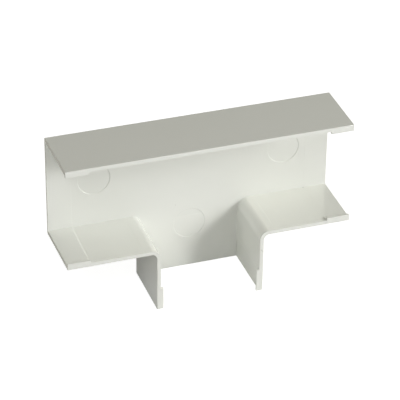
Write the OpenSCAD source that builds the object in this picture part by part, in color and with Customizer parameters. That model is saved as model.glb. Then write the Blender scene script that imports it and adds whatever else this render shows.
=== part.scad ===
// Tee fitting that covers the joint of three mini trunkings, moulded in one piece.
// It is open towards the wall it goes on, and stands here on the mouth of its branch.
// X runs along the straight run, Y from the open side to the cover plate, Z up the branch.

/* [Trunking] */
// Width of the trunking that the fitting snaps over
trunking_width = 38; // [30:1:50]
// Depth of the trunking, from the wall to its lid
trunking_depth = 25; // [20:1:40]
// Play between the trunking and each side wall of the run
run_play = 0.1; // [0.1:0.1:0.5]
// Play between the trunking and each wall of the branch
branch_play = 0.3; // [0.1:0.1:0.7]

/* [Tee] */
// Length of the straight run, from end to end
run_length = 110; // [104:1:150]
// Reach of the branch beyond the side of the run
branch_reach = 24.4; // [22:0.4:50]
// Thickness of the side walls
wall = 1.5; // [1.2:0.1:2]
// Thickness of the cover plate
plate = 1.2; // [1.2:0.1:2.4]
// Radius of the hollow side of the bends between run and branch
bend_radius = 2.2; // [1:0.2:4]
// Distance by which the walls' rims stop short of the plate at the run's ends
end_draft = 0.4; // [0.1:0.1:0.8]

/* [Edges] */
// Radius of the outer corner between the cover plate and the long wall
long_corner = 1; // [0.4:0.1:1.1]
// Radius of the outer corner between the cover plate and the short walls
short_corner = 0.6; // [0.3:0.1:1.1]
// Radius of the outer edge of the open rims
rim_round = 0.2; // [0.1:0.1:0.8]
// Radius of the inner corner between the cover plate and the walls
root_fillet = 0.25; // [0.1:0.05:0.4]

/* [Lips] */
// Length of the lips that snap behind the trunking
lip_length = 9.2; // [6:0.1:11]
// Height of the lips above the wall that carries them
lip_height = 1; // [0.7:0.1:1.6]
// Depth of the lips, from the open rim
lip_depth = 1; // [0.6:0.1:2]
// Rounding of the lips' free corners
lip_round = 0.2; // [0.1:0.05:0.35]

/* [Moulding marks] */
// Diameter of the ejector marks in the cover plate
mark_diameter = 12.4; // [8:0.4:16]
// Depth of the ejector marks
mark_depth = 0.25; // [0.1:0.05:0.4]
// Distance of the run's ejector marks, at their centres, from its ends
run_mark_inset = 17.9; // [14:0.1:20]
// Distance of the branch's ejector mark, at its centre, from the mouth
branch_mark_inset = 18.9; // [14:0.1:21]
// Length of the bands that the mould's slides leave inside the three ends
slide_length = 9; // [6:0.5:11]
// Thickness that the slide adds to the walls at the -X end
slide_step = 0.14; // [0.04:0.02:0.3]
// Thickness that the slides add everywhere else
slide_trace = 0.02; // [0.02:0.02:0.3]
// Thickness that the mould's insert adds around the bends
insert_step = 0.03; // [0.02:0.01:0.2]
// Distance of the insert's edge from the outside of the branch
insert_offset = 4.7; // [4.3:0.1:7]

/* [Hidden] */
$fn = 96;

// Outer sizes, from the trunking and the walls around it
run_width = trunking_width + 2 * (run_play + wall);
branch_width = trunking_width + 2 * (branch_play + wall);
depth = trunking_depth + plate;
half_run = run_length / 2;
half_branch = branch_width / 2;
height = branch_reach + run_width;

// Inner faces of the long wall, the short walls and the branch walls
long_inside = height - wall;
short_inside = branch_reach + wall;
branch_inside = half_branch - wall;
plate_inside = depth - plate;

// Centre of the bends, on the hollow side
bend_x = half_branch + bend_radius;
bend_z = branch_reach - bend_radius;

// Overlap that joins neighbouring shapes into one solid
knit = 0.2;
// Overshoot of cutting shapes past the faces they cut
past = 0.1;

// Square corner less a quarter circle: added it is a fillet, taken away it is a rounding.
module spandrel(radius) {
    difference() {
        square(radius);
        translate([radius, radius])
            circle(radius);
    }
}

// The same, reaching past the corner, to cut a rounding.
module corner_cut(radius) {
    difference() {
        translate([-past, -past])
            square(radius + past);
        translate([radius, radius])
            circle(radius);
    }
}

// Section across a side wall: X from the open rim to the plate's outer face,
// Y from the wall's outer face inwards. The fillet at the plate is part of it.
module wall_section(thickness, corner) {
    difference() {
        square([depth, thickness]);
        corner_cut(rim_round);
        translate([depth, 0])
            mirror([1, 0])
                corner_cut(corner);
    }
    translate([plate_inside, thickness])
        mirror([1, 0])
            spandrel(root_fillet);
}

// Stretch of wall along X, its outer face down at z = 0.
module straight_wall(length, thickness, corner) {
    rotate([90, 0, 90])
        linear_extrude(length)
            wall_section(thickness, corner);
}

// Long wall on the far side of the run.
module long_wall() {
    translate([-half_run, 0, height])
        mirror([0, 0, 1])
            straight_wall(run_length, wall, long_corner);
}

// Short wall of the run on the +X side, from the bend to the end of the run.
module short_wall() {
    translate([bend_x, 0, branch_reach])
        straight_wall(half_run - bend_x, wall, short_corner);
    translate([bend_x, 0, branch_reach])
        straight_wall(half_branch + insert_offset - bend_x, wall + insert_step, short_corner);
}

// Wall of the branch on the +X side, from the mouth to the bend.
module branch_wall() {
    translate([half_branch, 0, 0])
        rotate([0, 0, 90])
            linear_extrude(bend_z)
                wall_section(wall, short_corner);
}

// Bend that turns the short wall into the branch wall, revolved about its hollow side.
module bend() {
    translate([bend_x, 0, bend_z])
        rotate([0, 180, 0])
            rotate([-90, 0, 0])
                rotate_extrude(angle = 90)
                    translate([bend_radius, 0])
                        mirror([1, -1])
                            wall_section(wall + insert_step, short_corner);
}

// Outline of the cover plate between the walls, seen from the open side.
module plate_outline() {
    translate([-half_run, short_inside - knit])
        square([run_length, long_inside - short_inside + 2 * knit]);
    translate([-branch_inside - knit, 0])
        square([2 * (branch_inside + knit), short_inside]);
    for (side = [0, 1])
        mirror([side, 0])
            difference() {
                translate([branch_inside - knit, bend_z])
                    square([bend_x - branch_inside + knit, short_inside - bend_z]);
                translate([bend_x, bend_z])
                    circle(bend_radius + wall - knit);
            }
}

// Cover plate, which faces the room when the fitting is in use.
module cover_plate() {
    translate([0, depth, 0])
        rotate([90, 0, 0])
            linear_extrude(plate)
                plate_outline();
}

// Band left by a slide, with a sloped step at its inner end, lying on z = 0.
// It starts at x = 0 and runs along X, as wide as given along Y.
module slide_band(width, step) {
    translate([0, width, 0])
        rotate([90, 0, 0])
            linear_extrude(width)
                polygon([
                    [0, -knit],
                    [slide_length, -knit],
                    [slide_length, step],
                    [step, step],
                    [0, 0]
                ]);
}

// Bands inside the +X end of the run: on the long wall, the short wall and the plate.
module run_bands(wall_step) {
    translate([half_run - slide_length, 0, 0]) {
        translate([0, 0, short_inside])
            slide_band(plate_inside + knit, wall_step);
        translate([0, 0, long_inside])
            mirror([0, 0, 1])
                slide_band(plate_inside + knit, wall_step);
        translate([0, plate_inside, short_inside - knit])
            rotate([90, 0, 0])
                slide_band(long_inside - short_inside + 2 * knit, slide_trace);
    }
}

// Band inside the mouth of the branch, on the +X wall.
module branch_wall_band() {
    translate([branch_inside, 0, slide_length])
        rotate([0, 90, 0])
            mirror([0, 0, 1])
                slide_band(plate_inside + knit, slide_trace);
}

// Band inside the mouth of the branch, on the plate.
module branch_plate_band() {
    translate([-branch_inside - knit, plate_inside, slide_length])
        rotate([90, 90, 0])
            slide_band(2 * (branch_inside + knit), slide_trace);
}

// Retaining lip along X from x = 0, flush with the rim at y = 0, standing up from z = 0.
module lip() {
    rotate([90, 0, 90])
        linear_extrude(lip_length)
            difference() {
                translate([0, -knit])
                    square([lip_depth, lip_height + knit]);
                translate([lip_depth, lip_height])
                    mirror([1, 0])
                        mirror([0, 1])
                            corner_cut(lip_round);
            }
}

// The lips of one side: on the long wall, the short wall and the branch wall.
module lips() {
    translate([half_run - lip_length, 0, long_inside])
        mirror([0, 0, 1])
            lip();
    translate([half_run - lip_length, 0, short_inside])
        lip();
    translate([branch_inside, 0, lip_length])
        rotate([0, 90, 0])
            mirror([0, 0, 1])
                lip();
}

// Slanted cut across the walls at the +X end of the run. It leaves the plate's edge square.
module end_cut() {
    slope = end_draft / plate_inside;
    linear_extrude(height + past)
        polygon([
            [half_run - end_draft - past * slope, -past],
            [half_run + past * slope, plate_inside + past],
            [half_run + end_draft, plate_inside + past],
            [half_run + end_draft, -past]
        ]);
}

// Shallow round mark of an ejector pin in the plate's inner face.
module ejector_mark(x, z) {
    translate([x, plate_inside + mark_depth, z])
        rotate([90, 0, 0])
            cylinder(h = mark_depth + past, d = mark_diameter);
}

module ejector_marks() {
    for (side = [-1, 1])
        ejector_mark(side * (half_run - run_mark_inset), branch_reach + run_width / 2);
    ejector_mark(0, branch_mark_inset);
}

// The whole fitting: three channels that meet in a tee, one solid.
// The origin is under its middle, in the plane of the branch's mouth.
module tee_cover() {
    color([0.87, 0.88, 0.84])
        translate([0, -depth / 2, 0])
            difference() {
                union() {
                    cover_plate();
                    long_wall();
                    branch_plate_band();
                    for (side = [0, 1])
                        mirror([side, 0, 0]) {
                            short_wall();
                            bend();
                            branch_wall();
                            run_bands(side == 1 ? slide_step : slide_trace);
                            branch_wall_band();
                            lips();
                        }
                }
                for (side = [0, 1])
                    mirror([side, 0, 0])
                        end_cut();
                ejector_marks();
            }
}

tee_cover();
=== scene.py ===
import math

import bmesh
import bpy
from mathutils import Matrix, Vector


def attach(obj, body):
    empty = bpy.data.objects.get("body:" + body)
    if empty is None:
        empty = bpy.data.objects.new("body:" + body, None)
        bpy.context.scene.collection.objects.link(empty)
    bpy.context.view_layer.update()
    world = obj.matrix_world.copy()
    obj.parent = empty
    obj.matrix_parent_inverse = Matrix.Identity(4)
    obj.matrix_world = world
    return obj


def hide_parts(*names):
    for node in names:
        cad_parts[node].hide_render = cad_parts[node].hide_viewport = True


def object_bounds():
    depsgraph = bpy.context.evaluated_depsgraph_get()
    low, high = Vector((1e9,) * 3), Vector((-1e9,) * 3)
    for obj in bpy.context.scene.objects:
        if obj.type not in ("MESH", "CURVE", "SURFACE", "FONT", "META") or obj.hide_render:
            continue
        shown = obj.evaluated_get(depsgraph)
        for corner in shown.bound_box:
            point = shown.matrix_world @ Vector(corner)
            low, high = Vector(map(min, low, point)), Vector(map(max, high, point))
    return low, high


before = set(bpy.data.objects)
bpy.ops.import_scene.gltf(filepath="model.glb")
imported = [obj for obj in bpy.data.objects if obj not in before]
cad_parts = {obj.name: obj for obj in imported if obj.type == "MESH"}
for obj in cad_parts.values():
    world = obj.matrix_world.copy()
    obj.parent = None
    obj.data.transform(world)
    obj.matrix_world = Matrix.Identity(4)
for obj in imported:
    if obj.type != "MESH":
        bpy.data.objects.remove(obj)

cad_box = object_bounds()

# Camera
# A long lens looks down on the open side from the left, as in the photograph. Its place and
# its angles were fitted to corners and edges of the object there.
camera_place = (-0.21250, -0.60373, 0.43646)
camera_azimuth = math.radians(19.394)
camera_elevation = math.radians(32.030)
camera_roll = math.radians(0.773)
camera_lens = 184.14
camera_reach = 20
look = Vector((math.sin(camera_azimuth) * math.cos(camera_elevation),
               math.cos(camera_azimuth) * math.cos(camera_elevation),
               -math.sin(camera_elevation)))
level = Vector((math.cos(camera_azimuth), -math.sin(camera_azimuth), 0))
upright = level.cross(look)
image_x = level * math.cos(camera_roll) + upright * math.sin(camera_roll)
image_y = image_x.cross(look)
camera_data = bpy.data.cameras.new("camera")
camera_data.lens = camera_lens
camera_data.clip_end = camera_reach
camera = bpy.data.objects.new("camera", camera_data)
camera.matrix_world = Matrix((image_x, image_y, -look)).transposed().to_4x4()
camera.location = camera_place
bpy.context.scene.collection.objects.link(camera)
bpy.context.scene.camera = camera

# Tee cover
# One injection moulding of off-white rigid plastic with a soft gloss, which snaps over three
# trunkings. To the plain shape this piece adds what the mould leaves: rounded edges, soft
# steps, slanted ejector marks, a speck and a witness line, and painted shade on a pit and the end
# faces.
run_end = cad_box[1][0]
plate_thickness = 0.0012
plate_inside = cad_box[1][1] - plate_thickness
merge_distance = 0.000001
flat_bend = math.radians(0.5)
shape = bmesh.new()
shape.from_mesh(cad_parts["tee_cover"].data)
bmesh.ops.remove_doubles(shape, verts=shape.verts, dist=merge_distance)
bmesh.ops.dissolve_limit(shape, angle_limit=flat_bend, verts=shape.verts, edges=shape.edges)

# Cuts close beside the steps and fillets keep the shading and the bevels of long thin faces
# even. Their places are in millimetres.
run_cuts = (-46.4, -45.6, -25.6, -25.3, 25.3, 25.6, 45.6, 46.3)
height_cuts = (8.7, 9.4, 22.1, 22.3, 26.3, 63.7)
cuts = [(Vector((x, 0, 0)), (1, 0, 0)) for x in run_cuts]
cuts += [(Vector((0, 0, z)), (0, 0, 1)) for z in height_cuts]
for cut_place, direction in cuts:
    bmesh.ops.bisect_plane(shape, geom=shape.verts[:] + shape.edges[:] + shape.faces[:],
                           dist=merge_distance, plane_co=cut_place / 1000, plane_no=direction)

# The mould's slides leave bands 9 mm long inside the three ends, and its insert leaves one
# around the bends. Their steps run out softly, over 0.12 to 0.26 mm, and the feet of those in
# the run lie 0.15 mm further in than on the plain shape. A point lies on an edge of the plain
# shape where it is closer to it than the value of touching.
touching = 0.000005
slide_length = 0.009
slide_edge = run_end - slide_length
slide_foot_shift = 0.00015
slide_top_shift = 0.00003
mouth_top_shift = 0.0001
widest_step = 0.0002
insert_edge = 0.0255
insert_top_shift = 0.00014
for vertex in shape.verts:
    side = math.copysign(1, vertex.co.x)
    away = abs(vertex.co.x)
    if abs(away - slide_edge) < touching:
        vertex.co.x -= side * slide_foot_shift
    elif slide_edge < away < slide_edge + widest_step:
        vertex.co.x -= side * slide_top_shift
    if slide_length - widest_step < vertex.co.z < slide_length - touching:
        vertex.co.z -= mouth_top_shift
    if abs(away - insert_edge) < touching and any(
            abs(edge.other_vert(vertex).co.x) < insert_edge - touching for edge in vertex.link_edges):
        vertex.co.x -= side * insert_top_shift

# The ejector marks are shallower than on the plain shape, with slanted edges. Their circles
# are made of short straight pieces, so points up to 0.01 mm off the true circle are moved too.
# Two points that a cut made on the branch's mark lie a little further off, and stay.
marks = (Vector((-0.0371, 0, 0.045)), Vector((0.0371, 0, 0.045)), Vector((0, 0, 0.0189)))
mark_radius = 0.0062
mark_sag = 0.00001
mark_slant = 0.00005
mark_depth = 0.00015
plain_mark_depth = 0.00025
for vertex in shape.verts:
    on_plate = abs(vertex.co.y - plate_inside) < touching
    on_floor = abs(vertex.co.y - plate_inside - plain_mark_depth) < touching
    for mark in marks:
        out = (vertex.co - mark) * Vector((1, 0, 1))
        on_circle = abs(out.length - mark_radius) < mark_sag
        if on_circle and on_plate:
            vertex.co += out.normalized() * mark_slant
        elif on_circle and on_floor:
            vertex.co -= out.normalized() * mark_slant
            vertex.co.y = plate_inside + mark_depth

# Sharp edges are rounded, apart from those beside faces that are too narrow for it. Facets of
# round corners are shaded smooth, and so are the steeper steps at the -X end. The finest
# steps, which bend by less than those, stay crisp, and so does what is still sharp at the end.
edge_round = 0.00008
narrow_face = 0.00015
facet_bend = math.radians(6)
steep_bend = math.radians(20)
sharp_bend = math.radians(40)
crease_bend = math.radians(50)
shape.normal_update()
sharp = [edge for edge in shape.edges
         if edge.is_convex and edge.calc_face_angle(0) > sharp_bend
         and min(face.calc_area() for face in edge.link_faces) > narrow_face * edge.calc_length()]
for edge in set(shape.edges) - set(sharp):
    bend = edge.calc_face_angle(0)
    edge.smooth = bend < facet_bend or steep_bend < bend < sharp_bend
bmesh.ops.bevel(shape, geom=sharp, offset=edge_round, offset_type="OFFSET", affect="EDGES",
                segments=2, profile=0.5, material=-1, clamp_overlap=False)
bmesh.ops.recalc_face_normals(shape, faces=shape.faces)
for face in shape.faces:
    face.smooth = True
for edge in shape.edges:
    if edge.calc_face_angle(0) > crease_bend:
        edge.smooth = False
tee_mesh = bpy.data.meshes.new("tee_moulding")
shape.to_mesh(tee_mesh)
shape.free()
tee = bpy.data.objects.new("tee_moulding", tee_mesh)
bpy.context.scene.collection.objects.link(tee)
even_normals = tee.modifiers.new("even_normals", "WEIGHTED_NORMAL")
even_normals.keep_sharp = True

plastic = bpy.data.materials.new("off_white_plastic")
plastic.use_nodes = True
nodes = plastic.node_tree.nodes
link = plastic.node_tree.links.new
shader = nodes["Principled BSDF"]
shader.inputs["IOR"].default_value = 1.5
place = nodes.new("ShaderNodeTexCoord")


# Soft uneven pattern of the moulded plastic, finer with a larger scale.
def unevenness(scale, detail):
    pattern = nodes.new("ShaderNodeTexNoise")
    pattern.inputs["Scale"].default_value = scale
    pattern.inputs["Detail"].default_value = detail
    link(place.outputs["Object"], pattern.inputs["Vector"])
    return pattern.outputs["Fac"]


# Strength of a mark or a gloss, which changes evenly while the way goes from start to end.
def fading(way, start, end, at_start, at_end):
    fade = nodes.new("ShaderNodeMapRange")
    fade.inputs["From Min"].default_value = start
    fade.inputs["From Max"].default_value = end
    fade.inputs["To Min"].default_value = at_start
    fade.inputs["To Max"].default_value = at_end
    link(way, fade.inputs["Value"])
    return fade.outputs["Result"]


# Colour of the plastic under a stain or a painted shade, which covers it fully where its strength is
# 1.
def stained_or_shaded(colour, stain_or_shade, strength):
    cover = nodes.new("ShaderNodeMix")
    cover.data_type = "RGBA"
    cover.inputs["B"].default_value = stain_or_shade
    link(colour, cover.inputs["A"])
    link(strength, cover.inputs["Factor"])
    return cover.outputs["Result"]


# Pigment spread a little unevenly: broad soft clouds over the pale base colour.
pale = (0.826, 0.839, 0.786, 1)
paler = (0.858, 0.866, 0.824, 1)
pigment = nodes.new("ShaderNodeMix")
pigment.data_type = "RGBA"
pigment.inputs["A"].default_value = pale
pigment.inputs["B"].default_value = paler
link(unevenness(scale=30, detail=4), pigment.inputs["Factor"])
colour = pigment.outputs["Result"]

# Painted shade: the end faces are coloured a shade darker and warmer than the rest.
end_painted_shade = (0.75, 0.74, 0.66, 1)
end_start = 0.0543
end_full = 0.0545
facing_start = 0.5
facing_full = 0.9
end_place = nodes.new("ShaderNodeSeparateXYZ")
link(place.outputs["Object"], end_place.inputs["Vector"])
end_away = nodes.new("ShaderNodeMath")
end_away.operation = "ABSOLUTE"
link(end_place.outputs["X"], end_away.inputs[0])
at_end = fading(end_away.outputs["Value"], end_start, end_full, 0, 1)
end_facing = nodes.new("ShaderNodeSeparateXYZ")
link(place.outputs["Normal"], end_facing.inputs["Vector"])
end_turn = nodes.new("ShaderNodeMath")
end_turn.operation = "ABSOLUTE"
link(end_facing.outputs["X"], end_turn.inputs[0])
faces_end = fading(end_turn.outputs["Value"], facing_start, facing_full, 0, 1)
end_shade_mask = nodes.new("ShaderNodeMath")
end_shade_mask.operation = "MULTIPLY"
link(at_end, end_shade_mask.inputs[0])
link(faces_end, end_shade_mask.inputs[1])
colour = stained_or_shaded(colour, end_painted_shade, end_shade_mask.outputs["Value"])

# A dark speck, 0.3 mm across, lies under the plate's skin above the branch. Painted shade as
# wide stands for a pit where a slide's edge meets the corner between the plate and the short wall.
speck_middle = (-0.00550, 0.01205, 0.02778)
pit_middle = (0.04585, 0.0117, 0.0259)
speck_and_pit_shade_colour = (0.10, 0.09, 0.08, 1)
speck_and_pit_shade_strength = 0.4
speck_core = 0.00010
speck_rim = 0.00028
nearest = nodes.new("ShaderNodeMath")
nearest.operation = "MINIMUM"
for middle, socket in zip((speck_middle, pit_middle), nearest.inputs):
    spot_way = nodes.new("ShaderNodeVectorMath")
    spot_way.operation = "DISTANCE"
    spot_way.inputs[1].default_value = middle
    link(place.outputs["Object"], spot_way.inputs[0])
    link(spot_way.outputs["Value"], socket)
speck_and_pit_shade = fading(nearest.outputs["Value"], speck_core, speck_rim, speck_and_pit_shade_strength, 0)
colour = stained_or_shaded(colour, speck_and_pit_shade_colour, speck_and_pit_shade)

# A witness line, where two parts of the mould meet, slants across the rim of one branch wall.
seam_middle = (0.02014, -0.0131, 0.01772)
seam_crossways = (0.765, 0, 0.644)
seam_stain = (0.25, 0.24, 0.20, 1)
seam_strength = 0.35
seam_core = 0.00008
seam_side = 0.00016
seam_full_reach = 0.00070
seam_last_reach = 0.00085
seam_place = nodes.new("ShaderNodeVectorMath")
seam_place.operation = "SUBTRACT"
seam_place.inputs[1].default_value = seam_middle
link(place.outputs["Object"], seam_place.inputs[0])
seam_across = nodes.new("ShaderNodeVectorMath")
seam_across.operation = "DOT_PRODUCT"
seam_across.inputs[1].default_value = seam_crossways
link(seam_place.outputs["Vector"], seam_across.inputs[0])
seam_away = nodes.new("ShaderNodeMath")
seam_away.operation = "ABSOLUTE"
link(seam_across.outputs["Value"], seam_away.inputs[0])
seam_line = fading(seam_away.outputs["Value"], seam_core, seam_side, seam_strength, 0)
seam_along = nodes.new("ShaderNodeVectorMath")
seam_along.operation = "LENGTH"
link(seam_place.outputs["Vector"], seam_along.inputs[0])
seam_reach = fading(seam_along.outputs["Value"], seam_full_reach, seam_last_reach, 1, 0)
seam = nodes.new("ShaderNodeMath")
seam.operation = "MULTIPLY"
link(seam_line, seam.inputs[0])
link(seam_reach, seam.inputs[1])
colour = stained_or_shaded(colour, seam_stain, seam.outputs["Value"])
link(colour, shader.inputs["Base Color"])

# The gloss varies softly with the polish of the mould.
smoothest = 0.05
roughest = 0.09
polish = unevenness(scale=160, detail=3)
link(fading(polish, 0, 1, smoothest, roughest), shader.inputs["Roughness"])

# Very fine grain of the moulded skin.
grain_height = 0.00001
grain_strength = 0.15
skin = nodes.new("ShaderNodeBump")
skin.inputs["Strength"].default_value = grain_strength
skin.inputs["Distance"].default_value = grain_height
link(unevenness(scale=1800, detail=2), skin.inputs["Height"])
link(skin.outputs["Normal"], shader.inputs["Normal"])
tee_mesh.materials.append(plastic)

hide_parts("tee_cover")
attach(tee, "root")

# Floor
# A plain white table top. It takes a faint shadow and is otherwise seen as pure white.
floor_reach = 3
floor_lit = (0.82, 0.82, 0.82, 1)
floor_shadowed = (0.45, 0.45, 0.45, 1)
floor_mesh = bpy.data.meshes.new("floor")
shape = bmesh.new()
bmesh.ops.create_grid(shape, x_segments=1, y_segments=1, size=floor_reach)
shape.to_mesh(floor_mesh)
shape.free()
floor = bpy.data.objects.new("floor", floor_mesh)
bpy.context.scene.collection.objects.link(floor)
white = bpy.data.materials.new("floor_white")
white.use_nodes = True
nodes = white.node_tree.nodes
link = white.node_tree.links.new
nodes.remove(nodes["Principled BSDF"])
lit = nodes.new("ShaderNodeBsdfDiffuse")
lit.inputs["Color"].default_value = floor_lit
shadowed = nodes.new("ShaderNodeBsdfDiffuse")
shadowed.inputs["Color"].default_value = floor_shadowed
ray = nodes.new("ShaderNodeLightPath")
paint = nodes.new("ShaderNodeMixShader")
link(ray.outputs["Is Camera Ray"], paint.inputs["Fac"])
link(lit.outputs["BSDF"], paint.inputs[1])
link(shadowed.outputs["BSDF"], paint.inputs[2])

# It glows for the camera, and less so in the plastic's gloss, as the photograph shows it.
camera_glow = 0.9
gloss_glow = 0.15
mirrored = nodes.new("ShaderNodeMath")
mirrored.operation = "MAXIMUM"
link(ray.outputs["Is Glossy Ray"], mirrored.inputs[0])
link(ray.outputs["Is Transmission Ray"], mirrored.inputs[1])
in_gloss = nodes.new("ShaderNodeMath")
in_gloss.operation = "MULTIPLY"
in_gloss.inputs[1].default_value = gloss_glow
link(mirrored.outputs["Value"], in_gloss.inputs[0])
direct = nodes.new("ShaderNodeMath")
direct.operation = "MULTIPLY_ADD"
direct.inputs[1].default_value = camera_glow
link(ray.outputs["Is Camera Ray"], direct.inputs[0])
link(in_gloss.outputs["Value"], direct.inputs[2])
glow = nodes.new("ShaderNodeEmission")
link(direct.outputs["Value"], glow.inputs["Strength"])
table_top = nodes.new("ShaderNodeAddShader")
link(paint.outputs["Shader"], table_top.inputs[0])
link(glow.outputs["Emission"], table_top.inputs[1])
link(table_top.outputs["Shader"], nodes["Material Output"].inputs["Surface"])
floor_mesh.materials.append(white)

# Light
# Round soft boxes. Four near each other, to the right in front, are the main light. Wide ones
# fill in from both sides, warmer high up at the right and the left, and one stands behind.
# Azimuth and elevation are in degrees, width in metres and power in watts.
lamp_distance = 1.5
lamp_target = Vector((0, 0, 0.03))
neutral = (1, 1, 1)
warm = (1, 0.95, 0.70)
for name, azimuth, elevation, width, power, tint in (
        ("key_left", 37, 23, 0.3, 5.7, neutral),
        ("key_low", 44, 16, 0.3, 1.9, neutral),
        ("key_high", 44, 31, 0.3, 1.5, neutral),
        ("key_right", 51, 23, 0.3, 2.7, neutral),
        ("right_low", 65, 12, 0.6, 4.4, neutral),
        ("right_high", 85, 35, 0.8, 3.3, warm),
        ("front_high", -30, 45, 0.6, 4.8, neutral),
        ("left_low", -90, 15, 0.8, 2.2, neutral),
        ("left_high", -90, 45, 0.8, 1.5, warm),
        ("back", 170, 6, 1.0, 3.0, neutral)):
    data = bpy.data.lights.new(name, "AREA")
    data.shape = "DISK"
    data.size = width
    data.energy = power
    data.color = tint
    lamp = bpy.data.objects.new(name, data)
    azimuth = math.radians(azimuth)
    elevation = math.radians(elevation)
    toward = Vector((math.sin(azimuth) * math.cos(elevation),
                     -math.cos(azimuth) * math.cos(elevation), math.sin(elevation)))
    lamp.location = lamp_target + toward * lamp_distance
    lamp.rotation_euler = toward.to_track_quat("Z", "Y").to_euler()
    bpy.context.scene.collection.objects.link(lamp)
room_light = 0.02
world = bpy.data.worlds.new("world")
bpy.context.scene.world = world
world.use_nodes = True
world.node_tree.nodes["Background"].inputs["Color"].default_value = (1, 1, 1, 1)
world.node_tree.nodes["Background"].inputs["Strength"].default_value = room_light

bpy.context.scene.view_settings.view_transform = "Standard"
